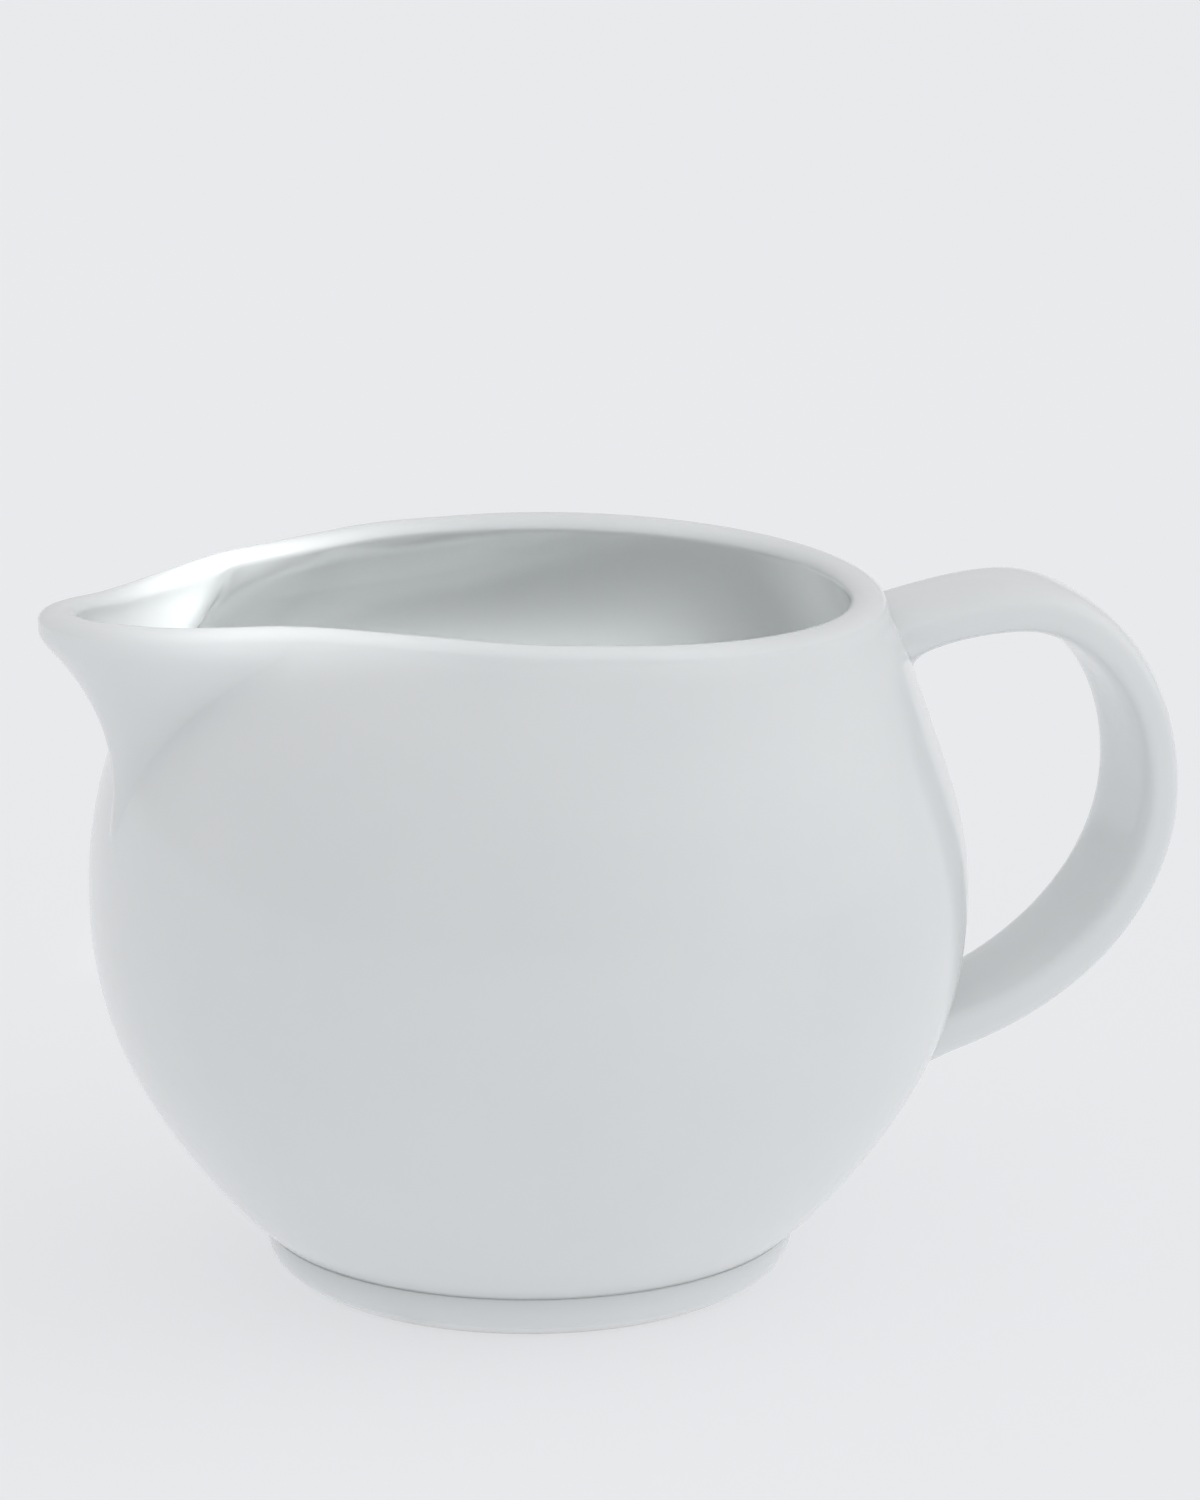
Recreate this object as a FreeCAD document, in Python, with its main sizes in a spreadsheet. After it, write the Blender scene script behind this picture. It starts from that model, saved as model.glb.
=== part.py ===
import FreeCAD, Part
import math
import os

import Sketcher
from FreeCAD import Vector

# A small globe-bodied ceramic milk jug. Millimetres, +Z up, the spout towards -X, the handle towards +X.
# The origin is the middle of the foot's resting face. Sizes named "..._rise" are measured up from the
# globe's centre, and "..._bury" is how far a piece runs into what it joins before it is trimmed.
SIZES = {
    # the bowl
    "globe_radius": 47.5,
    "wall": 3.0,
    "floor_thickness": 3.2,
    "shoulder_rise": 17.0,            # where the globe turns into the shoulder
    "mouth_radius": 30.6,             # outside of the lip
    "mouth_offset": 7.7,              # how far the mouth sits towards the handle
    "mouth_rise": 33.8,               # top of the lip beside the jug's axis
    "lip_wall": 3.4,                  # wall at the mouth, measured level
    "lip_slope": 0.05,                # rise of the lip towards the spout, for each millimetre
    "lip_level_reach": 26.0,          # from here out to the tip the lip is level
    # the foot
    "foot_radius": 28.5,              # where the foot meets the globe
    "foot_height": 4.7,
    "foot_taper": 3.1,                # how much narrower the foot is at the table
    "foot_root_width": 6.0,           # width of the ring under the floor
    "rest_width": 2.6,                # width of the resting face
    "bare_depth": 0.4,                # height of the unglazed band
    # the spout
    "spout_overhang": 7.1,            # tip of the spout beyond the globe
    "spout_tip_radius": 8.0,          # rounding of the prow seen from above
    "spout_root_rise": 8.0,
    "spout_root_radius": 2.0,
    "spout_root_length": 3.6,         # from the prow to the sides at the root
    "spout_root_width": 4.0,          # half width there
    "spout_root_bury": 0.22,
    "spout_wall": 3.0,
    "spout_side_angle": 56.26,        # where the sides run into the lip, about the middle of the mouth
    "spout_side_bury": 0.5,
    "channel_root_rise": 13.4,        # where the pouring channel starts
    "channel_root_bury": 0.43,
    "channel_root_radius": 1.2,
    "channel_tip_radius": 5.2,
    # the handle
    "handle_gap": 23.0,               # middle of the strap beyond the globe, at its farthest
    "handle_drop": 6.4,               # middle of the strap below the lip, where it leaves the bowl
    "handle_crown_radius": 15.5,
    "handle_upright": 2.9,            # straight stretch between the crown and the palm
    "handle_palm_radius": 28.0,
    "handle_foot_drop": 25.3,         # lower end of the strap below the globe's centre
    "handle_bury": 13.5,
    "strap_width": 14.5,
    "strap_thickness": 4.3,
    # the joints
    "slip_thickness": 0.4,            # luting slip between two pieces
    # the shaping solids
    "overshoot": 1.0,                 # how far the globe, the spout and the channel pass the lip
    "clearance": 12.0,                # how far the trimming block passes everything else
}
SHOULDER_STATIONS = (0.0, 0.3, 0.6, 0.85, 1.0)
SPOUT_STATIONS = (0.0, 0.25, 0.5, 0.75, 1.0)
GLOBE_HEIGHT = "(sizes.foot_height + sqrt(sizes.globe_radius^2 - sizes.foot_radius^2))"
SHOULDER_HEIGHT = f"({GLOBE_HEIGHT} + sizes.shoulder_rise)"
MOUTH_HEIGHT = f"({GLOBE_HEIGHT} + sizes.mouth_rise)"
LEVEL_LIP = f"({MOUTH_HEIGHT} + sizes.lip_slope * sizes.lip_level_reach)"
FORM_TOP = f"({LEVEL_LIP} + sizes.overshoot)"
REST_RADIUS = "(sizes.foot_radius - sizes.foot_taper)"
SPOUT_REACH = "(sizes.globe_radius + sizes.spout_overhang)"
SPOUT_ROOT_HEIGHT = f"({GLOBE_HEIGHT} + sizes.spout_root_rise)"
SPOUT_ROOT_REACH = "(sqrt(sizes.globe_radius^2 - sizes.spout_root_rise^2) - sizes.spout_root_bury)"
SPOUT_SIDE_RADIUS = "(sizes.mouth_radius - sizes.spout_side_bury)"
SPOUT_SIDE_REACH = f"({SPOUT_SIDE_RADIUS} * cos(sizes.spout_side_angle) - sizes.mouth_offset)"
SPOUT_SIDE_WIDTH = f"({SPOUT_SIDE_RADIUS} * sin(sizes.spout_side_angle))"
CHANNEL_ROOT_HEIGHT = f"({GLOBE_HEIGHT} + sizes.channel_root_rise)"
CHANNEL_ROOT_REACH = ("(sqrt((sizes.globe_radius - sizes.wall)^2 - sizes.channel_root_rise^2)"
                      " - sizes.channel_root_bury)")
HANDLE_ROOT = "(sizes.globe_radius - sizes.handle_bury)"
HANDLE_REACH = "(sizes.globe_radius + sizes.handle_gap)"
HANDLE_TOP = f"({MOUTH_HEIGHT} - sizes.handle_drop)"
HANDLE_BOW = f"({HANDLE_TOP} - sizes.handle_crown_radius - sizes.handle_upright)"
HANDLE_FOOT = f"({GLOBE_HEIGHT} - sizes.handle_foot_drop)"
SPAN = f"({HANDLE_REACH} + sizes.clearance)"

doc = FreeCAD.newDocument("milk_jug")
sheet = doc.addObject("Spreadsheet::Sheet", "sizes")
for row, (alias, number) in enumerate(SIZES.items(), start=1):
    sheet.set(f"A{row}", alias)
    sheet.set(f"B{row}", str(number))
    sheet.setAlias(f"B{row}", alias)
doc.recompute()


# ---- sketching ----

def sketch_on(body, name, role, out="0", right="0", up="0"):
    """A sketch on one of the body's origin planes, shifted out of it and along its two directions."""
    sketch = body.newObject("Sketcher::SketchObject", name)
    plane = next(f for f in body.Origin.OriginFeatures if f.Role == role)
    sketch.AttachmentSupport = [(plane, "")]
    sketch.MapMode = "FlatFace"
    for axis, expression in (("x", right), ("y", up), ("z", out)):
        sketch.setExpression("AttachmentOffset.Base." + axis, expression)
    return sketch


def value(expression):
    return float(sheet.evalExpression(expression))


def measure(sketch, name, expression, kind, *where):
    """A dimension that follows the sheet."""
    index = sketch.addConstraint(Sketcher.Constraint(kind, *where, value(expression)))
    sketch.renameConstraint(index, name)
    sketch.setExpression("Constraints." + name, expression)


def outline(sketch, corners):
    """A closed outline of straight lines through corners, each a pair of expressions (right, up)."""
    points = [Vector(value(x), value(y), 0) for x, y in corners]
    count = len(points)
    for i in range(count):
        sketch.addGeometry(Part.LineSegment(points[i], points[(i + 1) % count]), False)
    for i in range(count):
        sketch.addConstraint(Sketcher.Constraint("Coincident", i, 2, (i + 1) % count, 1))
    for i, (x, y) in enumerate(corners):
        measure(sketch, f"right{i}", x, "DistanceX", -1, 1, i, 1)
        measure(sketch, f"up{i}", y, "DistanceY", -1, 1, i, 1)


def arc(centre, radius, first, last):
    """A circular arc in a sketch, between two angles in degrees."""
    circle = Part.Circle(Vector(*centre, 0), Vector(0, 0, 1), radius)
    return Part.ArcOfCircle(circle, math.radians(first), math.radians(last))


# ---- features ----

def revolve(body, sketch):
    feature = body.newObject("PartDesign::Revolution", body.Name + "_turned")
    feature.Profile = sketch
    feature.ReferenceAxis = (sketch, ["V_Axis"])
    feature.Angle = 360
    sketch.Visibility = False
    return feature


def loft(body, sketches):
    feature = body.newObject("PartDesign::AdditiveLoft", body.Name + "_lofted")
    feature.Profile = sketches[0]
    feature.Sections = sketches[1:]
    feature.Refine = False
    return feature


def cut(name, base, tool):
    feature = doc.addObject("Part::Cut", name)
    feature.Base = base
    feature.Tool = tool
    return feature


def common(name, base, tool):
    feature = doc.addObject("Part::Common", name)
    feature.Base = base
    feature.Tool = tool
    return feature


# ---- the globe and its shoulder, as shaping solids ----

def jug_form(name, grow, mouth_grow, bottom):
    """The globe up to its shoulder, and the shoulder closing in to the mouth, moved outwards by grow."""
    body = doc.addObject("PartDesign::Body", name)
    radius = f"(sizes.globe_radius + {grow})"
    low = f"sqrt({radius}^2 - ({GLOBE_HEIGHT} - {bottom})^2)"
    high = f"sqrt({radius}^2 - sizes.shoulder_rise^2)"
    globe = sketch_on(body, name + "_globe", "XZ_Plane")
    globe_section(globe, radius, bottom, low, high)
    revolve(body, globe)
    closing = [shoulder_section(body, name, station, high, mouth_grow) for station in SHOULDER_STATIONS]
    body.Tip = loft(body, closing)
    return body


def globe_section(sketch, radius, bottom, low, high):
    """Half of the globe's section: the flat bottom, the round side, the flat top, and the axis."""
    ends = (Vector(value(low), value(bottom), 0), Vector(value(high), value(SHOULDER_HEIGHT), 0))
    side = Part.Arc(ends[0], Vector(value(radius), value(GLOBE_HEIGHT), 0), ends[1])
    foot, top = Vector(0, ends[0].y, 0), Vector(0, ends[1].y, 0)
    sketch.addGeometry([Part.LineSegment(foot, ends[0]), side,
                        Part.LineSegment(ends[1], top), Part.LineSegment(top, foot)], False)
    for first, second in (((0, 2), (1, 1)), ((1, 2), (2, 1)), ((2, 2), (3, 1)), ((3, 2), (0, 1))):
        sketch.addConstraint(Sketcher.Constraint("Coincident", *first, *second))
    sketch.addConstraint(Sketcher.Constraint("Horizontal", 0))
    sketch.addConstraint(Sketcher.Constraint("Horizontal", 2))
    sketch.addConstraint(Sketcher.Constraint("PointOnObject", 3, 1, -2))
    sketch.addConstraint(Sketcher.Constraint("PointOnObject", 3, 2, -2))
    sketch.addConstraint(Sketcher.Constraint("PointOnObject", 1, 3, -2))
    measure(sketch, "radius", radius, "Radius", 1)
    measure(sketch, "centre", GLOBE_HEIGHT, "DistanceY", -1, 1, 1, 3)
    measure(sketch, "bottom", bottom, "DistanceY", -1, 1, 0, 1)
    measure(sketch, "top", SHOULDER_HEIGHT, "DistanceY", -1, 1, 2, 1)


def shoulder_section(body, name, station, high, mouth_grow):
    """One level circle of the shoulder. The radius starts with the globe's own slope and falls away as a
    square; the centre moves towards the handle as a square."""
    climb = f"({FORM_TOP} - {SHOULDER_HEIGHT})"
    mouth = f"(sizes.mouth_radius + {mouth_grow})"
    whole = "(sizes.mouth_rise - sizes.shoulder_rise)"
    along = f"({station} * {climb} / {whole})"
    slope = f"(sizes.shoulder_rise / {high} * {whole})"
    radius = f"{high} - {slope} * {along} - ({high} - {mouth} - {slope}) * {along}^2"
    sketch = sketch_on(body, f"{name}_shoulder_{int(station * 100)}", "XY_Plane",
                       out=f"{SHOULDER_HEIGHT} + {station} * {climb}",
                       right=f"sizes.mouth_offset * {along}^2")
    sketch.addGeometry(Part.Circle(Vector(0, 0, 0), Vector(0, 0, 1), value(radius)), False)
    sketch.addConstraint(Sketcher.Constraint("Coincident", 0, 3, -1, 1))
    measure(sketch, "radius", radius, "Radius", 0)
    sketch.Visibility = False
    return sketch


# ---- the spout, as shaping solids ----

def prow_form(name, bottom, root_reach, tip_reach, root_radius, tip_radius, inset):
    """A wedge with a rounded prow, widening upwards from its root to above the lip."""
    body = doc.addObject("PartDesign::Body", name)
    root_side = f"({SPOUT_ROOT_REACH} - sizes.spout_root_length)"
    sections = []
    for station in SPOUT_STATIONS:
        height = f"({bottom} + {station} * ({FORM_TOP} - {bottom}))"
        rise = f"(({height} - {SPOUT_ROOT_HEIGHT}) / ({MOUTH_HEIGHT} - {SPOUT_ROOT_HEIGHT}))"
        sketch = sketch_on(body, f"{name}_{int(station * 100)}", "XY_Plane", out=height)
        prow_section(sketch,
                     reach=f"{root_reach} + ({tip_reach} - {root_reach}) * {station}^2",
                     radius=f"{root_radius} + ({tip_radius} - {root_radius}) * {station}",
                     side=f"{root_side} - {inset} + ({SPOUT_SIDE_REACH} - {root_side}) * {rise}^2",
                     width=f"sizes.spout_root_width - {inset}"
                           f" + ({SPOUT_SIDE_WIDTH} - sizes.spout_root_width) * {rise}")
        sketch.Visibility = False
        sections.append(sketch)
    body.Tip = loft(body, sections)
    return body


def prow_section(sketch, reach, radius, side, width):
    """A rounded prow towards -X, a straight side on each flank and a straight back."""
    r = value(radius)
    centre = r - value(reach)
    back, half = -value(side), value(width)
    spread = math.degrees(math.atan2(half, back - centre) + math.acos(r / math.hypot(half, back - centre)))
    prow = arc((centre, 0), r, spread, 360 - spread)
    sketch.addGeometry([prow, Part.LineSegment(prow.StartPoint, Vector(back, half, 0)),
                        Part.LineSegment(Vector(back, half, 0), Vector(back, -half, 0)),
                        Part.LineSegment(Vector(back, -half, 0), prow.EndPoint)], False)
    for kind, *where in (("Tangent", 0, 1, 1, 1), ("Tangent", 0, 2, 3, 2), ("Coincident", 1, 2, 2, 1),
                         ("Coincident", 2, 2, 3, 1), ("PointOnObject", 0, 3, -1),
                         ("Symmetric", 1, 2, 3, 1, -1)):
        sketch.addConstraint(Sketcher.Constraint(kind, *where))
    measure(sketch, "radius", radius, "Radius", 0)
    measure(sketch, "centre", f"{reach} - ({radius})", "DistanceX", 0, 3, -1, 1)
    measure(sketch, "side", side, "DistanceX", 1, 2, -1, 1)
    measure(sketch, "width", width, "DistanceY", -1, 1, 1, 2)


# ---- the handle, as a strap before its ends are trimmed ----

def strap_form(name):
    """A strap carried along a path: level out of the mouth, over the crown, down the palm and back."""
    body = doc.addObject("PartDesign::Body", name)
    path = sketch_on(body, name + "_path", "XZ_Plane")
    strap_path(path)
    section = sketch_on(body, name + "_section", "YZ_Plane",
                        out=HANDLE_ROOT, up=HANDLE_TOP)
    strap_section(section)
    pipe = body.newObject("PartDesign::AdditivePipe", name + "_carried")
    pipe.Profile = section
    pipe.Spine = path
    pipe.Mode = "Standard"
    path.Visibility = section.Visibility = False
    body.Tip = pipe
    return body


def strap_path(sketch):
    """Two arcs joined by straight stretches, all tangent."""
    root, reach = value(HANDLE_ROOT), value(HANDLE_REACH)
    top, bow = value(HANDLE_TOP), value(HANDLE_BOW)
    crown, palm = value("sizes.handle_crown_radius"), value("sizes.handle_palm_radius")
    over = arc((reach - crown, top - crown), crown, 0, 90)
    under = arc((reach - palm, bow), palm, -65, 0)
    sketch.addGeometry([Part.LineSegment(Vector(root, top, 0), over.EndPoint), over,
                        Part.LineSegment(over.StartPoint, under.EndPoint), under,
                        Part.LineSegment(under.StartPoint, Vector(root, value(HANDLE_FOOT), 0))],
                       False)
    for kind, *where in (("Tangent", 0, 2, 1, 2), ("Tangent", 1, 1, 2, 1), ("Tangent", 2, 2, 3, 2),
                         ("Tangent", 3, 1, 4, 1), ("Horizontal", 0), ("Vertical", 2)):
        sketch.addConstraint(Sketcher.Constraint(kind, *where))
    measure(sketch, "crown", "sizes.handle_crown_radius", "Radius", 1)
    measure(sketch, "palm", "sizes.handle_palm_radius", "Radius", 3)
    measure(sketch, "top", HANDLE_TOP, "DistanceY", -1, 1, 0, 1)
    measure(sketch, "upper_root", HANDLE_ROOT, "DistanceX", -1, 1, 0, 1)
    measure(sketch, "reach", HANDLE_REACH, "DistanceX", -1, 1, 2, 1)
    measure(sketch, "bow", HANDLE_BOW, "DistanceY", -1, 1, 2, 2)
    measure(sketch, "lower_root", HANDLE_ROOT, "DistanceX", -1, 1, 4, 2)
    measure(sketch, "foot", HANDLE_FOOT, "DistanceY", -1, 1, 4, 2)


def strap_section(sketch):
    """A flat strap with half-round edges."""
    edge = value("sizes.strap_thickness") / 2
    half = value("sizes.strap_width") / 2 - edge
    right, left = arc((half, 0), edge, -90, 90), arc((-half, 0), edge, 90, 270)
    sketch.addGeometry([right, Part.LineSegment(right.EndPoint, left.StartPoint), left,
                        Part.LineSegment(left.EndPoint, right.StartPoint)], False)
    for kind, *where in (("Tangent", 0, 2, 1, 1), ("Tangent", 1, 2, 2, 1), ("Tangent", 2, 2, 3, 1),
                         ("Tangent", 3, 2, 0, 1), ("Horizontal", 1), ("Symmetric", 0, 3, 2, 3, -1, 1)):
        sketch.addConstraint(Sketcher.Constraint(kind, *where))
    measure(sketch, "edge", "sizes.strap_thickness / 2", "Radius", 0)
    measure(sketch, "half", "sizes.strap_width / 2 - sizes.strap_thickness / 2", "DistanceX", -1, 1, 0, 3)


# ---- trimming solids ----

def above_lip():
    """Everything above the lip: sloping up from the handle, then level out to the tip of the spout."""
    body = doc.addObject("PartDesign::Body", "above_lip")
    sketch = sketch_on(body, "above_lip_side", "XZ_Plane")
    corners = [("-" + SPAN, LEVEL_LIP), ("-sizes.lip_level_reach", LEVEL_LIP),
               (SPAN, f"{MOUTH_HEIGHT} - sizes.lip_slope * {SPAN}"),
               (SPAN, f"{LEVEL_LIP} + sizes.clearance"), ("-" + SPAN, f"{LEVEL_LIP} + sizes.clearance")]
    outline(sketch, corners)
    pad = body.newObject("PartDesign::Pad", "above_lip_block")
    pad.Profile = sketch
    pad.SideType = "Symmetric"
    pad.setExpression("Length", "2 * (sizes.globe_radius + sizes.clearance)")
    sketch.Visibility = False
    body.Tip = pad
    return body


def ring(name, section):
    """A ring turned from an outline of corners (radius, height)."""
    body = doc.addObject("PartDesign::Body", name)
    sketch = sketch_on(body, name + "_section", "XZ_Plane")
    outline(sketch, section)
    body.Tip = revolve(body, sketch)
    return body


# ---- the pieces ----

def named(feature, label):
    feature.Label = label
    return feature


def build():
    outside = jug_form("outside_form", "0", "0", "sizes.foot_height")
    seat = jug_form("seat_form", "sizes.slip_thickness", "sizes.slip_thickness",
                    "(sizes.foot_height - sizes.slip_thickness)")
    hollow = jug_form("hollow_form", "(-sizes.wall)", "(-sizes.lip_wall)",
                      "(sizes.foot_height + sizes.floor_thickness)")
    lip = above_lip()
    prow = prow_form("prow_form", SPOUT_ROOT_HEIGHT, SPOUT_ROOT_REACH, SPOUT_REACH,
                     "sizes.spout_root_radius", "sizes.spout_tip_radius", "0")
    channel = prow_form("channel_form", CHANNEL_ROOT_HEIGHT, CHANNEL_ROOT_REACH,
                        f"({SPOUT_REACH} - sizes.spout_wall)", "sizes.channel_root_radius",
                        "sizes.channel_tip_radius", "sizes.spout_wall")
    strap = strap_form("strap_form")

    shell = cut("shell", cut("outside_level", outside, lip), hollow)
    named(cut("bowl_opened", shell, channel), "bowl")
    trough = cut("trough", cut("prow_level", prow, lip), channel)
    named(cut("spout_trimmed", trough, seat), "spout")
    named(cut("spout_seam_trimmed", common("spout_seam_raw", trough, seat), outside), "spout_slip_seam")
    named(cut("handle_trimmed", strap, seat), "handle")
    slip = cut("handle_slip", common("handle_slip_raw", strap, seat), outside)
    upper = doc.addObject("Part::Box", "upper_half")
    for side in ("Length", "Width", "Height"):
        upper.setExpression(side, f"2 * {SPAN}")
    upper.setExpression("Placement.Base.y", f"-{SPAN}")
    upper.setExpression("Placement.Base.z", GLOBE_HEIGHT)
    named(common("upper_slip", slip, upper), "handle_upper_slip_joint")
    named(cut("lower_slip", slip, upper), "handle_lower_slip_joint")
    rest_inside = f"({REST_RADIUS} - sizes.rest_width)"
    ring("foot_ring", [(rest_inside, "sizes.bare_depth"), (REST_RADIUS, "sizes.bare_depth"),
                       ("sizes.foot_radius", "sizes.foot_height"),
                       ("sizes.foot_radius - sizes.foot_root_width", "sizes.foot_height")])
    ring("unglazed_foot_band", [(rest_inside, "0"), (REST_RADIUS, "0"), (REST_RADIUS, "sizes.bare_depth"),
                                (rest_inside, "sizes.bare_depth")])


build()
doc.recompute()

NODES = ("bowl", "spout", "spout_slip_seam", "handle", "handle_upper_slip_joint", "handle_lower_slip_joint",
         "foot_ring", "unglazed_foot_band")

for item in doc.Objects:
    if "Invalid" in item.State or "Error" in item.State:
        raise RuntimeError(f"{item.Label} did not build: {item.State}")
os.makedirs("parts", exist_ok=True)
for node in NODES:
    piece = doc.getObjectsByLabel(node)[0]
    if piece.Shape.isNull() or not piece.Shape.isValid():
        raise RuntimeError(f"{node} has no sound shape")
    piece.Shape.exportStep(f"parts/{node}.step")
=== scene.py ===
import math

import bpy
import numpy as np
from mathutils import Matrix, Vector


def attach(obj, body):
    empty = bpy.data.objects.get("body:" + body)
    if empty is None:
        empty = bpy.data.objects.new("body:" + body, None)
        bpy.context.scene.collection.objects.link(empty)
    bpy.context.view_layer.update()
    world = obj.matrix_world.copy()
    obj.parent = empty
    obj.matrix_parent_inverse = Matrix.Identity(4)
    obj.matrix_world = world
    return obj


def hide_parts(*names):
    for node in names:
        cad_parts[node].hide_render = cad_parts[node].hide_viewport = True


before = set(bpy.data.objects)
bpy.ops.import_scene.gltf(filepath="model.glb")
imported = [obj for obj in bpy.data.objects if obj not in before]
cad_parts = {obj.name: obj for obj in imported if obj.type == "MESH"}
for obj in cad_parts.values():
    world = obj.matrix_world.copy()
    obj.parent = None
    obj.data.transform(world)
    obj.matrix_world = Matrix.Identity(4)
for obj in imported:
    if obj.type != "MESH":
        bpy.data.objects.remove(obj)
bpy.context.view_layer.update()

# A small globe-bodied porcelain milk jug. Shapes are worked out in millimetres and put in place in metres.
# +Z is up. The jug stands on Z = 0 with its axis on X = Y = 0, its spout towards -X and its handle towards
# +X. A rise is a height above the globe's centre, a reach is a distance from the axis, and a turn is an
# angle round the axis, 0 at the spout.
MM = 0.001

GLOBE_RADIUS = 47.5
GLOBE_HEIGHT = 42.7
WALL = 3.0
SHOULDER_RISE = 17.0          # where the shoulder starts to close in
FLANK_REACH = 29.0            # the straight flank between mouth and spout
FLANK_ANGLE = 27.5
FRONT_REACH = 35.0            # the bowl's own lip under the spout
MOUTH_RADIUS = 30.7
MOUTH_OFFSET = 7.7            # how far the mouth's circle is set towards the handle
LIP_RISE = 34.0
LIP_SLOPE = 0.052
LIP_ROUND = 1.3               # height of the rolled edge
LIP_BEAD = 0.45               # how far the rolled edge stands out from the shoulder
LIP_MIDDLE = 1.7              # from the lip's outer edge to its middle

TIP_REACH = 54.2
TIP_DROP = 1.75               # how far the lip eases down over the spout's length
DROP_START, DROP_END = 27.0, 46.0
KEEL_REACH = 46.4             # the spout's front edge, where its sweep starts
KEEL_SWEEP = 10.2             # how much further out the sweep takes it
KEEL_START, KEEL_HEIGHT = 15.0, 19.3
KEEL_POWER = 2.1
WEDGE_START, WEDGE_HEIGHT = 10.0, 24.0
WEDGE_ANGLE = 39.0            # between the spout's middle and each flank, at the foot of the wedge
WEDGE_CLOSING = 11.7          # how much smaller that angle is at the lip
NOSE_ROUND = 1.5              # the nose's radius at the foot of the wedge
NOSE_GROWTH = 6.7             # how much larger it is at the lip
CHANNEL_WALL = 2.9

FOOT_TOP = 4.7
FLOOR_TOP = 7.9
HOLLOW_START = 12.0           # height where the wall runs into the floor

STRAP_WIDTH = 13.0
STRAP_WIDENING = 3.4
STRAP_THICKNESS = 4.4
STRAP_THICKENING = 0.8
STRAP_LINES = 112             # lengthwise lines round the strap's section
CROWN_REACH = 55.0            # the middle of the crown's quarter ellipse
CROWN_ACROSS, CROWN_TALL = 15.5, 21.2
PALM_REACH = 36.0             # the middle of the ellipse under the palm
PALM_ACROSS, PALM_TALL = 34.5, 27.3
PALM_ANGLE = 69.0
GRIP_RISE = 6.2               # where the handle stands furthest out

# Each flared root: how far it runs along the strap, and how far it spreads over the bowl.
UPPER_ROOT = (2.8, 0.9)
LOWER_ROOT = (3.0, 1.2)
ROOT_DROOP = 5.0              # how much further it runs underneath
LANDING_SINK, DEEP_SINK, POLE_SINK = 0.12, 1.6, 1.8

# Light from all round, what is added to it overhead and on the handle's side, and the lamp's watts.
EVENLY = 0.62
OVERHEAD = 0.16
HANDLE_SIDE = 0.48
MOUTH_LAMP = 0.0052


# ---- shared arithmetic ----

def ease(t):
    """Smooth step: three t squared less two t cubed, with t kept between 0 and 1."""
    t = np.clip(t, 0.0, 1.0)
    return t * t * (3.0 - 2.0 * t)


def soft_max(a, b, blend):
    """The larger of two values, plus a quarter of blend times the square of how near they are within it."""
    near = np.clip(1.0 - np.abs(a - b) / blend, 0.0, 1.0)
    return np.maximum(a, b) + near * near * blend * 0.25


def soft_min(a, b, blend):
    """The smaller of two values, rounded in the same way."""
    return -soft_max(-a, -b, blend)


def bell(value, middle, width):
    """A bell curve: one over e to the square of the distance from its middle, counted in widths."""
    return np.exp(-((value - middle) / width) ** 2)


def crowd(count, density):
    """Count values from 0 to 1, closer together where density is high: the inverse of its running total."""
    fine = np.linspace(0.0, 1.0, 4001)
    weight = density(fine)
    total = np.concatenate([[0.0], np.cumsum((weight[1:] + weight[:-1]) * 0.5)])
    return np.interp(np.linspace(0.0, 1.0, count), total / total[-1], fine)


def new_piece(name, points, faces):
    """A smoothly shaded mesh, from points in millimetres."""
    mesh = bpy.data.meshes.new(name)
    mesh.from_pydata((points * MM).tolist(), [], faces)
    mesh.polygons.foreach_set("use_smooth", np.ones(len(mesh.polygons), bool))
    mesh.update()
    piece = bpy.data.objects.new(name, mesh)
    bpy.context.scene.collection.objects.link(piece)
    return piece


def enclosed(points, faces):
    """Six times the volume inside the faces. Each is cut into triangles from its first corner, and each
    triangle adds the triple product of its corners, which is negative if it faces inwards."""
    corners = [points[faces[:, k]] for k in range(faces.shape[1])]
    return sum(np.einsum("ij,ij->i", corners[0], np.cross(second, third)).sum()
               for second, third in zip(corners[1:-1], corners[2:]))


def mesh_from_grid(name, grid, first_pole, last_pole):
    """A closed skin from a grid of points (row, column), wrapped round its columns. Each end is closed by a
    fan to its pole. Faces are turned outwards by the sign of the enclosed volume."""
    rows, columns = grid.shape[:2]
    points = np.concatenate([grid.reshape(-1, 3), [first_pole, last_pole]])
    index = np.arange(rows * columns).reshape(rows, columns)
    after = np.roll(index, -1, axis=1)
    quads = np.stack([index[:-1], after[:-1], after[1:], index[1:]], axis=-1).reshape(-1, 4)
    first, last = np.full(columns, rows * columns), np.full(columns, rows * columns + 1)
    triangles = np.concatenate([np.stack([first, after[0], index[0]], axis=-1),
                                np.stack([last, index[-1], after[-1]], axis=-1)])
    if enclosed(points, quads) + enclosed(points, triangles) < 0.0:
        quads, triangles = quads[:, ::-1], triangles[:, ::-1]
    return new_piece(name, points, quads.tolist() + triangles.tolist())


# ---- the bowl and its spout ----

def lip_top(reach):
    """Rise of the lip: even towards the spout, where reach is positive, less the tip's drop, eased in over
    the spout's length."""
    return LIP_RISE + LIP_SLOPE * reach - TIP_DROP * ease((reach - DROP_START) / (DROP_END - DROP_START))


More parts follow.
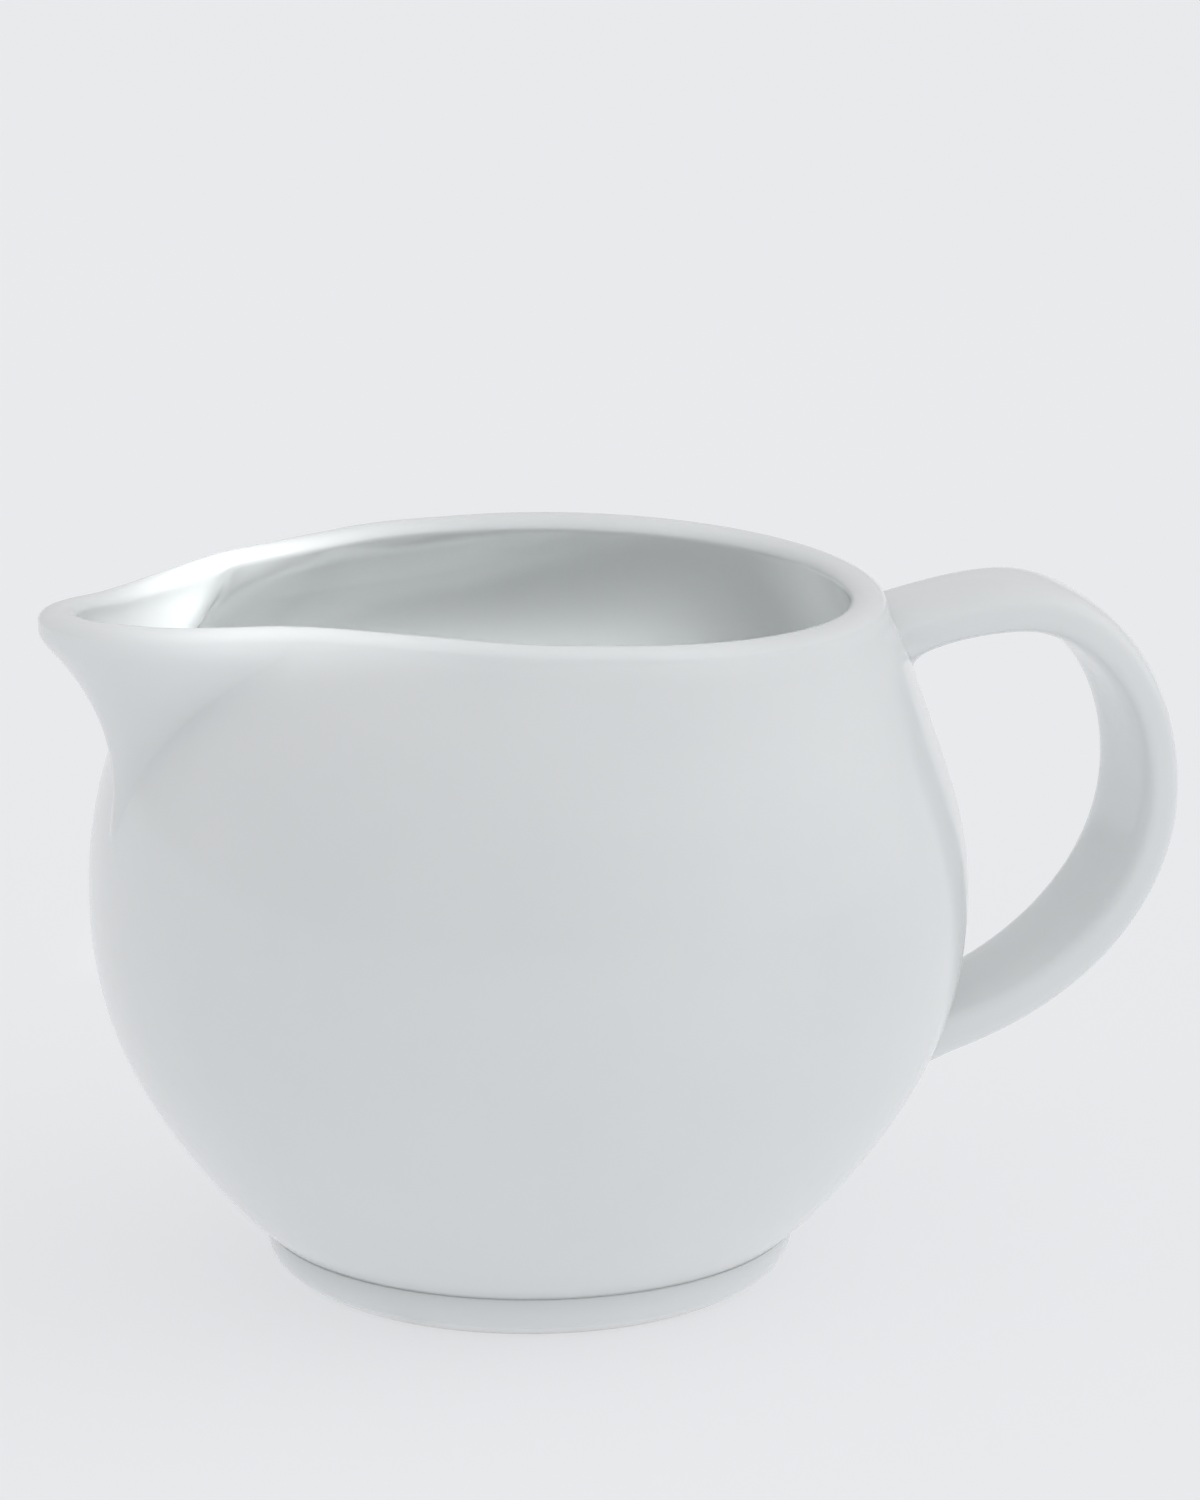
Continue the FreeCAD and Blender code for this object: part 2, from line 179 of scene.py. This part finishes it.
def mouth_plan(turn):
    """Outer edge of the lip without the spout, as a reach. A circle set towards the handle is joined to a
    straight flank that leans in towards the spout. In front, both are held back to the front's reach, which
    is let go between 0.7 and 1.2 radians from the spout."""
    flank = FLANK_REACH / np.cos(np.minimum(turn - math.radians(90.0 - FLANK_ANGLE), 0.0))
    circle = np.sqrt(MOUTH_RADIUS ** 2 - (MOUTH_OFFSET * np.sin(turn)) ** 2) - MOUTH_OFFSET * np.cos(turn)
    front = FRONT_REACH + 30.0 * ease((turn - 0.7) / 0.5)
    return soft_min(soft_max(flank, circle, 1.3), front, 1.0)


def prow(turn, rise, inset):
    """The spout's wedge as a reach: a round nose, with a straight flank on each side. Its front edge, the
    keel, is the sweep times a power of how far up it is, held back to the tip's reach, and it is drawn in
    by a square below the wedge's foot. Upwards the nose grows by a power of the climb, and the flanks close
    in evenly. The inset is measured square to the keel, by way of the keel's lean."""
    climb = np.clip((rise - WEDGE_START) / WEDGE_HEIGHT, 0.0, 1.1)
    sweep = np.clip((rise - KEEL_START) / KEEL_HEIGHT, 0.0, 1.1)
    drawn_in = 0.15 * np.clip(11.0 - rise, 0.0, 14.0) ** 2
    keel = soft_min(KEEL_REACH + KEEL_SWEEP * sweep ** KEEL_POWER, TIP_REACH, 1.0) - drawn_in
    lean = KEEL_SWEEP * KEEL_POWER / KEEL_HEIGHT * sweep ** (KEEL_POWER - 1.0)
    half_angle = np.radians(WEDGE_ANGLE - WEDGE_CLOSING * np.minimum(climb, 1.0))
    nose = NOSE_ROUND + NOSE_GROWTH * climb ** 1.23
    centre = keel - nose - inset * (np.sqrt(1.0 + lean ** 2) - 1.0)
    nose = np.maximum(nose - inset, 0.3)
    leans_back = np.minimum(turn - (math.pi / 2 - half_angle), 0.0)
    straight = (centre * np.sin(half_angle) + nose) / np.cos(leans_back)
    tangent = np.arctan2(nose * np.cos(half_angle), centre + nose * np.sin(half_angle))
    inside = np.clip(nose ** 2 - (centre * np.sin(turn)) ** 2, 0.0, None)
    rounded = centre * np.cos(turn) + np.sqrt(inside)
    return np.where(turn < tangent, rounded, straight)


def brim(turn):
    """Rise where the rolled edge starts: under the lip's top, taken at the middle of the lip."""
    return lip_top(np.cos(turn) * (mouth_plan(turn) - LIP_MIDDLE)) - LIP_ROUND


def globe(turn, rise):
    """A sphere's reach at this rise, drawn in a little below its belly and, towards the handle, above it:
    each by a bell curve."""
    sphere = np.sqrt(GLOBE_RADIUS ** 2 - np.clip(rise, -47.0, 36.0) ** 2)
    below = 0.9 * bell(rise, -30.0, 11.0)
    above = (0.25 - 0.45 * np.cos(turn)) * bell(rise, 15.0, 8.0)
    return sphere - below - above


def shoulder(turn, rise):
    """The globe's reach at this rise, plus what is missing to the mouth's plan at the brim times the square
    of how far the rise is through the shoulder."""
    top = brim(turn)
    through = np.clip((rise - SHOULDER_RISE) / (top - SHOULDER_RISE), 0.0, 1.2)
    return globe(turn, rise) + through ** 2 * (mouth_plan(turn) - globe(turn, top))


def outer_reach(turn, rise):
    """Outside of the jug: the larger of shoulder and spout, more tightly rounded near the lip, with a slight
    bead under the rolled edge except at the spout's tip."""
    near_lip = ease((rise - 20.0) / 10.0)
    bead = LIP_BEAD * ease((rise - brim(turn) + 2.0) / 2.0) * ease((turn - 0.3) / 0.5)
    return soft_max(shoulder(turn, rise), prow(turn, rise, 0.0), 1.2 - 0.6 * near_lip) + bead


def inner_reach(turn, rise):
    """Inside of the jug: the same two, each moved in by its wall. The bowl's wall is measured square to the
    side, by way of the side's slope. The channel runs into the bowl more softly the higher it is."""
    step = 0.05
    slope = (shoulder(turn, rise + step) - shoulder(turn, rise - step)) / (2.0 * step)
    wall = WALL * np.sqrt(1.0 + np.clip(slope, -1.0, 1.0) ** 2)
    near_lip = ease((rise - 20.0) / 10.0)
    blend = 0.6 + 3.4 * ease((rise - 12.0) / 8.0) - near_lip
    return soft_max(shoulder(turn, rise) - wall, prow(turn, rise, CHANNEL_WALL), blend)


def spread_turns(count):
    """Turns all the way round, about three times as close together over the spout and at its creases."""
    def density(u):
        away = np.abs(u - 0.5) * 360.0
        return 1.0 + 2.2 * np.exp(-(away / 34.0) ** 4)
    return (crowd(count + 1, density)[:-1] - 0.5) * 2.0 * math.pi


def place(turn, reach, rise):
    """A point from its turn, reach and rise."""
    point = np.broadcast_arrays(-reach * np.cos(turn), -reach * np.sin(turn), rise + GLOBE_HEIGHT)
    return np.stack(point, axis=-1)


def bowl_skin():
    """One closed skin: out along the underside, up the outside, over the rolled lip, down the inside and in
    along the floor. The lip is half an ellipse between the two sides, and the lip's top and the reach it is
    taken at are found from each other in turn. The floor curves up to the wall by a power of the reach."""
    turn = spread_turns(352)[None, :]
    away = np.abs(turn)
    reach_at_lip = np.full_like(turn, 50.0)
    for _ in range(6):
        top = lip_top(np.cos(turn) * reach_at_lip)
        reach_at_lip = (outer_reach(away, top - LIP_ROUND) + inner_reach(away, top - LIP_ROUND)) / 2.0
    edge_start = lip_top(np.cos(turn) * reach_at_lip) - LIP_ROUND
    low = FOOT_TOP - 0.1 - GLOBE_HEIGHT

    out = np.linspace(0.06, 1.0, 14)[:, None]
    edge = outer_reach(away, np.full_like(turn, low))
    underside = place(turn, edge * out, low + 0.7 * (1.0 - out ** 2))

    rows = crowd(116, lambda u: 1.0 + 1.5 * ease((u - 0.5) / 0.2))[1:, None]
    rise = low + (edge_start - low) * rows
    side = place(turn, outer_reach(away, rise), rise)

    roll = np.linspace(0.0, math.pi, 19)[1:-1, None]
    outside, inside = outer_reach(away, edge_start), inner_reach(away, edge_start)
    lip = place(turn, (outside + inside) / 2.0 + (outside - inside) / 2.0 * np.cos(roll),
                edge_start + LIP_ROUND * np.sin(roll))

    start = HOLLOW_START - GLOBE_HEIGHT
    rows = crowd(104, lambda u: 1.0 + 1.5 * ease((0.5 - u) / 0.2))[:, None]
    rise = edge_start + (start - edge_start) * rows
    hollow = place(turn, inner_reach(away, rise), rise)

    share = 1.0 - crowd(18, lambda u: 1.0 + 3.0 * (1.0 - u) ** 2)[1:-1, None]
    ring = inner_reach(away, np.full_like(turn, start))
    floor = place(turn, ring * share, FLOOR_TOP - GLOBE_HEIGHT + (HOLLOW_START - FLOOR_TOP) * share ** 8.2)

    grid = np.concatenate([underside, side, lip, hollow, floor], axis=0)
    return mesh_from_grid("glazed_bowl", grid, (0.0, 0.0, FOOT_TOP + 0.6), (0.0, 0.0, FLOOR_TOP))


# ---- the handle ----

def strap_line():
    """Middle line of the strap in the jug's upright plane, as (reach, rise): from inside the wall under the
    lip by a cubic to the crown, a quarter ellipse over the crown, part of another under the palm, then
    straight into the wall. It is smoothed by averaging each point with its neighbours under a bell curve,
    and returned after its running length."""
    back = np.linspace(20.0, 0.0, 60)[:-1]
    top = GRIP_RISE + CROWN_TALL
    lead = np.stack([CROWN_REACH - back, top - 0.01476 * back ** 2 + 0.000336 * back ** 3], axis=-1)
    over = np.linspace(90.0, 0.0, 120)[:-1] * math.pi / 180.0
    crown = np.stack([CROWN_REACH + CROWN_ACROSS * np.cos(over),
                      GRIP_RISE + CROWN_TALL * np.sin(over)], axis=-1)
    under = np.linspace(0.0, PALM_ANGLE, 140) * math.pi / 180.0
    palm = np.stack([PALM_REACH + PALM_ACROSS * np.cos(under),
                     GRIP_RISE - PALM_TALL * np.sin(under)], axis=-1)
    last = palm[-1] - palm[-2]
    tail = palm[-1] + np.linspace(0.0, 1.0, 30)[1:, None] * last / np.hypot(*last) * 13.0
    line = np.concatenate([lead, crown, palm, tail])
    along = np.concatenate([[0.0], np.cumsum(np.hypot(*np.diff(line, axis=0).T))])
    even = np.linspace(0.0, along[-1], 701)
    line = np.stack([np.interp(even, along, line[:, k]) for k in (0, 1)], axis=-1)
    share = np.exp(-0.5 * (np.arange(-60, 61) * even[1] / 1.6) ** 2)
    share = share / share.sum()
    padded = np.concatenate([2.0 * line[0] - line[60:0:-1], line, 2.0 * line[-1] - line[-2:-62:-1]])
    return even, np.stack([np.convolve(padded[:, k], share, mode="valid") for k in (0, 1)], axis=-1)


def strap_surface(even, line, along, around):
    """A point on the strap: its place along the middle line, plus its place round the section. The section
    is a superellipse of power 4, a little crowned on its outer face. It widens under the palm by a bell
    curve. It is thicker over the crown, by a bell curve, and towards the lower root, by an ease, and that
    is all added on its inner side."""
    heading = np.gradient(line, axis=0)
    heading = heading / np.hypot(heading[:, 0], heading[:, 1])[:, None]
    x, z = np.interp(along, even, line[:, 0]), np.interp(along, even, line[:, 1])
    ahead_x, ahead_z = np.interp(along, even, heading[:, 0]), np.interp(along, even, heading[:, 1])
    c, s = np.cos(around), np.sin(around)
    share = along / even[-1]
    width = STRAP_WIDTH + STRAP_WIDENING * bell(share, 0.5, 0.32)
    thickening = STRAP_THICKENING * (ease((share - 0.45) / 0.35) + 0.7 * bell(share, 0.27, 0.1))
    side = np.sign(c) * np.abs(c) ** 0.5
    out = (STRAP_THICKNESS + thickening) / 2.0 * np.sign(s) * np.abs(s) ** 0.5
    out = out + 0.35 * (1.0 - side ** 2) * (out > 0.0) - thickening / 2.0
    return np.stack([x - ahead_z * out, width / 2.0 * side, z + ahead_x * out], axis=-1)


def outside_bowl(point):
    """How far a point is outside the jug's side, measured level."""
    turn = np.abs(np.arctan2(point[..., 1], -point[..., 0]))
    return np.hypot(point[..., 0], point[..., 1]) - outer_reach(turn, point[..., 2] - GLOBE_HEIGHT)


def onto_bowl(point, sink):
    """The point of the jug's side at the same angle and height, moved in by sink."""
    turn = np.arctan2(-point[..., 1], -point[..., 0])
    rise = point[..., 2] - GLOBE_HEIGHT
    return place(turn, outer_reach(np.abs(turn), rise) - sink, rise)


def flared_root(surface, inside, clear, run, spread):
    """One root of the handle. The place where each lengthwise line comes out of the bowl is found by halving
    between a place inside it and one clear of it. The line then leaves the root as a quadratic curve: from
    a landing on the bowl's side, by way of where it comes out, to the strap further along. Returned are the
    root's rings from the deepest outwards, the pole that closes them, and where each line joins the strap."""
    low, high = np.full(STRAP_LINES, inside), np.full(STRAP_LINES, clear)
    for _ in range(40):
        middle = (low + high) / 2.0
        buried = outside_bowl(surface(middle)) < 0.0
        low, high = np.where(buried, middle, low), np.where(buried, high, middle)
    meet = (low + high) / 2.0
    touch = surface(meet)
    centre = touch.mean(axis=0)
    normal = centre - np.array([0.0, 0.0, GLOBE_HEIGHT])
    normal = normal / np.linalg.norm(normal)
    away = touch - centre
    away = away - (away @ normal)[:, None] * normal
    away = away / np.linalg.norm(away, axis=1)[:, None]
    droop = ROOT_DROOP * np.clip(-2.5 * away[:, 2], 0.0, 1.0)
    joins = meet + math.copysign(1.0, clear - inside) * (run + droop)
    landing = touch + away * (spread + 0.6 * droop)[:, None]
    t = np.linspace(0.0, 1.0, 17)[:, None, None]
    curve = ((1.0 - t) ** 2 * onto_bowl(landing, LANDING_SINK) + 2.0 * t * (1.0 - t) * touch
             + t ** 2 * surface(joins))
    rings = np.concatenate([onto_bowl(landing, DEEP_SINK)[None], curve])
    return rings, onto_bowl(centre, POLE_SINK), joins


def handle_skin():
    """The strap's section carried along its line from one flared root to the other."""
    even, line = strap_line()
    line = line + np.array([0.0, GLOBE_HEIGHT])
    around = (np.arange(STRAP_LINES) + 0.5) / STRAP_LINES * 2.0 * math.pi
    length = even[-1]

    def surface(along):
        return strap_surface(even, line, along, around)

    upper, upper_pole, first = flared_root(surface, 0.0, 0.25 * length, *UPPER_ROOT)
    lower, lower_pole, last = flared_root(surface, length, 0.75 * length, *LOWER_ROOT)
    share = np.linspace(0.0, 1.0, 190)[1:-1, None]
    grid = np.concatenate([upper, surface(first + (last - first) * share), lower[::-1]], axis=0)
    return mesh_from_grid("glazed_handle", grid, upper_pole, lower_pole)


# ---- the foot ----

def turned_ring(name, outline, columns):
    """A ring turned round the axis from a closed outline of (reach, height). The grid is joined to itself
    both ways, so it needs no poles. Faces are turned outwards by the sign of the enclosed volume."""
    turn = np.arange(columns) / columns * 2.0 * math.pi
    reach, height = outline[:, :1], outline[:, 1:]
    grid = np.stack(np.broadcast_arrays(reach * np.cos(turn), reach * np.sin(turn), height), axis=-1)
    index = np.arange(grid[..., 0].size).reshape(grid.shape[:2])
    below, after = np.roll(index, -1, axis=0), np.roll(index, -1, axis=1)
    quads = np.stack([index, after, np.roll(below, -1, axis=1), below], axis=-1).reshape(-1, 4)
    points = grid.reshape(-1, 3)
    if enclosed(points, quads) < 0.0:
        quads = quads[:, ::-1]
    return new_piece(name, points, quads.tolist())


def rounded_outline(corners, steps=9):
    """A closed outline whose corners (reach, height, rounding) are each replaced by a quadratic curve that
    starts and ends at the rounding's distance from the corner."""
    corners = np.asarray(corners, float)
    here, rounding = corners[:, :2], corners[:, 2:]
    before, following = np.roll(here, 1, axis=0) - here, np.roll(here, -1, axis=0) - here
    start = here + before / np.linalg.norm(before, axis=1)[:, None] * rounding
    end = here + following / np.linalg.norm(following, axis=1)[:, None] * rounding
    t = np.linspace(0.0, 1.0, steps)[None, :, None]
    curve = (1.0 - t) ** 2 * start[:, None] + 2.0 * t * (1.0 - t) * here[:, None] + t ** 2 * end[:, None]
    return curve.reshape(-1, 2)


def foot_pieces():
    """The glazed ring, nearly upright at the top and curving in to the ground, and the bare clay face that
    the jug stands on. Each is given by its corners: reach, height and rounding."""
    ring = rounded_outline([(28.55, 5.0, 0.15), (28.45, 2.2, 2.0), (25.5, 0.25, 0.35), (22.7, 0.3, 0.3),
                            (22.3, 3.4, 1.2), (21.0, 5.2, 0.2), (27.3, 5.2, 0.1)])
    bare = rounded_outline([(25.3, 0.9, 0.1), (25.12, 0.0, 0.35), (22.9, 0.0, 0.35), (22.85, 0.9, 0.1)])
    return turned_ring("glazed_foot", ring, 256), turned_ring("bare_foot_rim", bare, 256)


# ---- finishes ----

def new_finish(name):
    """A material with its nodes, its links and its main shader."""
    finish = bpy.data.materials.new(name)
    finish.use_nodes = True
    return finish, finish.node_tree.nodes, finish.node_tree.links, finish.node_tree.nodes["Principled BSDF"]


def cloud_texture(nodes, links, place_from, scale, detail=3.0):
    """Layered noise with so many clouds to the metre, each layer half the size of the one before."""
    noise = nodes.new("ShaderNodeTexNoise")
    noise.inputs["Scale"].default_value = scale
    noise.inputs["Detail"].default_value = detail
    links.new(place_from, noise.inputs["Vector"])
    return noise


def between(nodes, links, source, low, high, start=0.3, end=0.7):
    """A value that goes evenly from low to high as its source goes from start to end."""
    spread = nodes.new("ShaderNodeMapRange")
    spread.inputs["From Min"].default_value = start
    spread.inputs["From Max"].default_value = end
    spread.inputs["To Min"].default_value = low
    spread.inputs["To Max"].default_value = high
    links.new(source, spread.inputs["Value"])
    return spread.outputs["Result"]


def colour_mix(nodes, links, source, first, second):
    """A colour that goes evenly from the first to the second over the middle of its source's range."""
    ramp = nodes.new("ShaderNodeValToRGB")
    ramp.color_ramp.elements[0].position = 0.3
    ramp.color_ramp.elements[1].position = 0.7
    ramp.color_ramp.elements[0].color = (*first, 1.0)
    ramp.color_ramp.elements[1].color = (*second, 1.0)
    links.new(source, ramp.inputs["Fac"])
    return ramp.outputs["Color"]


def porcelain(name, first, second, gloss_low, gloss_high):
    """White glaze: slow clouds of tone, a slightly uneven shine, long shallow waves and sparse pinholes."""
    finish, nodes, links, shader = new_finish(name)
    place_from = nodes.new("ShaderNodeTexCoord").outputs["Object"]
    clouds = cloud_texture(nodes, links, place_from, 38.0)
    links.new(colour_mix(nodes, links, clouds.outputs["Fac"], first, second), shader.inputs["Base Color"])
    film = cloud_texture(nodes, links, place_from, 90.0, 4.0)
    links.new(between(nodes, links, film.outputs["Fac"], gloss_low, gloss_high), shader.inputs["Roughness"])
    shader.inputs["IOR"].default_value = 1.5
    shader.inputs["Subsurface Weight"].default_value = 0.35
    shader.inputs["Subsurface Radius"].default_value = (1.0, 0.97, 0.9)
    shader.inputs["Subsurface Scale"].default_value = 0.006
    shader.inputs["Coat Weight"].default_value = 0.35
    shader.inputs["Coat Roughness"].default_value = 0.06
    waves = cloud_texture(nodes, links, place_from, 55.0, 1.0)
    swell = nodes.new("ShaderNodeBump")
    swell.inputs["Strength"].default_value = 0.06
    swell.inputs["Distance"].default_value = 0.001
    links.new(waves.outputs["Fac"], swell.inputs["Height"])
    pits = nodes.new("ShaderNodeTexVoronoi")
    pits.inputs["Scale"].default_value = 260.0
    links.new(place_from, pits.inputs["Vector"])
    pinholes = nodes.new("ShaderNodeBump")
    pinholes.inputs["Strength"].default_value = 0.05
    pinholes.inputs["Distance"].default_value = 0.0002
    links.new(between(nodes, links, pits.outputs["Distance"], 0.0, 1.0, 0.02, 0.09),
              pinholes.inputs["Height"])
    links.new(swell.outputs["Normal"], pinholes.inputs["Normal"])
    links.new(pinholes.outputs["Normal"], shader.inputs["Normal"])
    return finish


def bare_clay():
    """Fired clay without glaze: warmer, dull, with a fine grain and darker specks."""
    finish, nodes, links, shader = new_finish("bare_biscuit_clay")
    place_from = nodes.new("ShaderNodeTexCoord").outputs["Object"]
    grain = cloud_texture(nodes, links, place_from, 900.0, 5.0)
    links.new(colour_mix(nodes, links, grain.outputs["Fac"], (0.66, 0.63, 0.58), (0.76, 0.74, 0.70)),
              shader.inputs["Base Color"])
    links.new(between(nodes, links, grain.outputs["Fac"], 0.72, 0.9), shader.inputs["Roughness"])
    rough = nodes.new("ShaderNodeBump")
    rough.inputs["Strength"].default_value = 0.35
    rough.inputs["Distance"].default_value = 0.0002
    links.new(grain.outputs["Fac"], rough.inputs["Height"])
    links.new(rough.outputs["Normal"], shader.inputs["Normal"])
    return finish


# ---- putting the jug together ----

bowl = bowl_skin()
handle = handle_skin()
foot, rim = foot_pieces()

glaze = porcelain("white_porcelain_glaze", (0.757, 0.776, 0.781), (0.782, 0.798, 0.801), 0.12, 0.22)
bisque = bare_clay()
for piece, finish, replaced, slot in (
        (bowl, glaze, ("bowl", "spout", "spout_slip_seam"), "glazed_porcelain"),
        (handle, glaze, ("handle", "handle_upper_slip_joint", "handle_lower_slip_joint"), "glazed_porcelain"),
        (foot, glaze, ("foot_ring",), "glazed_porcelain"),
        (rim, bisque, ("unglazed_foot_band",), "bare_clay")):
    piece.data.materials.append(finish)
    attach(piece, "root")
    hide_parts(*replaced)


# ---- the studio ----

def studio_floor():
    """A wide level table top, lit from below as well as above, so that the jug's shadow on it stays faint."""
    mesh = bpy.data.meshes.new("table_top")
    half = 6.0
    mesh.from_pydata([(-half, -half, 0.0), (half, -half, 0.0), (half, half, 0.0), (-half, half, 0.0)], [],
                     [(0, 1, 2, 3)])
    table = bpy.data.objects.new("table_top", mesh)
    bpy.context.scene.collection.objects.link(table)
    finish, nodes, links, shader = new_finish("pale_lit_paper")
    clouds = cloud_texture(nodes, links, nodes.new("ShaderNodeTexCoord").outputs["Object"], 3.0)
    links.new(colour_mix(nodes, links, clouds.outputs["Fac"], (0.395, 0.400, 0.408), (0.405, 0.410, 0.418)),
              shader.inputs["Base Color"])
    shader.inputs["Roughness"].default_value = 1.0
    shader.inputs["Specular IOR Level"].default_value = 0.0
    shader.inputs["Emission Color"].default_value = (0.99, 1.0, 1.018, 1.0)
    shader.inputs["Emission Strength"].default_value = 0.495
    table.data.materials.append(finish)


def studio_light():
    """Light from all round: an even part, a part that grows with the cosine from straight above, and a wide
    soft patch on the handle's side, towards the front, which falls off as the cube of the cosine."""
    world = bpy.data.worlds.new("studio_tent")
    world.use_nodes = True
    nodes, links = world.node_tree.nodes, world.node_tree.links
    direction = nodes.new("ShaderNodeTexCoord").outputs["Generated"]

    def arithmetic(operation, value, other):
        """One step on a value, with a number or with another value."""
        step = nodes.new("ShaderNodeMath")
        step.operation = operation
        links.new(value, step.inputs[0])
        if isinstance(other, float):
            step.inputs[1].default_value = other
        else:
            links.new(other, step.inputs[1])
        return step.outputs[0]

    def patch(x, y, z, power, strength):
        """Strength times a power of the cosine from the direction of (x, y, z), and none behind it."""
        length = math.sqrt(x * x + y * y + z * z)
        facing = nodes.new("ShaderNodeVectorMath")
        facing.operation = "DOT_PRODUCT"
        facing.inputs[1].default_value = (x / length, y / length, z / length)
        links.new(direction, facing.inputs[0])
        cosine = arithmetic("MAXIMUM", facing.outputs["Value"], 0.0)
        return arithmetic("MULTIPLY", arithmetic("POWER", cosine, power), strength)

    total = arithmetic("ADD", patch(0.0, 0.0, 1.0, 1.0, OVERHEAD), EVENLY)
    total = arithmetic("ADD", patch(0.85, -0.4, 0.35, 3.0, HANDLE_SIDE), total)
    background = nodes["Background"]
    background.inputs["Color"].default_value = (0.995, 1.0, 1.012, 1.0)
    links.new(total, background.inputs["Strength"])
    bpy.context.scene.world = world


def mouth_lamp():
    """A small flat strip of light, narrow in its spread, which slants down over the front of the lip on to
    the inside of the far wall. It doesn't show in the glaze or to the camera."""
    lamp = bpy.data.lights.new("mouth_lamp", "AREA")
    lamp.shape = "RECTANGLE"
    lamp.size = 0.058
    lamp.size_y = 0.015
    lamp.spread = math.radians(5.0)
    lamp.energy = MOUTH_LAMP
    lamp.color = (0.97, 1.0, 0.99)
    hung = bpy.data.objects.new("mouth_lamp", lamp)
    bpy.context.scene.collection.objects.link(hung)
    target = Vector((-0.002, 0.026, 0.058))
    hung.location = target + Vector((-0.075, -0.25, 0.18))
    hung.rotation_euler = (target - hung.location).to_track_quat("-Z", "Y").to_euler()
    hung.visible_glossy = False
    hung.visible_camera = False


def camera_at_jug():
    """The camera stands 18 degrees round towards the spout and 16.63 degrees up, 1.145 m from the globe's
    centre. The aim is a little right of and above that centre."""
    lens = bpy.data.cameras.new("camera")
    lens.sensor_width = 36.0
    lens.lens = 254.4
    lens.clip_start, lens.clip_end = 0.05, 60.0
    camera = bpy.data.objects.new("camera", lens)
    round_by, up_by, distance = math.radians(-18.0), math.radians(16.63), 1.145
    level = math.cos(up_by)
    back = Vector((math.sin(round_by) * level, -math.cos(round_by) * level, math.sin(up_by)))
    middle = Vector((0.0, 0.0, GLOBE_HEIGHT * MM))
    right = Vector((math.cos(round_by), math.sin(round_by), 0.0))
    above = back.cross(right)
    camera.location = middle + back * distance
    aim = middle + right * 0.0077 + above * 0.0145
    camera.rotation_euler = (aim - camera.location).to_track_quat("-Z", "Y").to_euler()
    bpy.context.scene.collection.objects.link(camera)
    bpy.context.scene.camera = camera


studio_floor()
camera_at_jug()
studio_light()
mouth_lamp()
bpy.context.scene.view_settings.view_transform = "Standard"
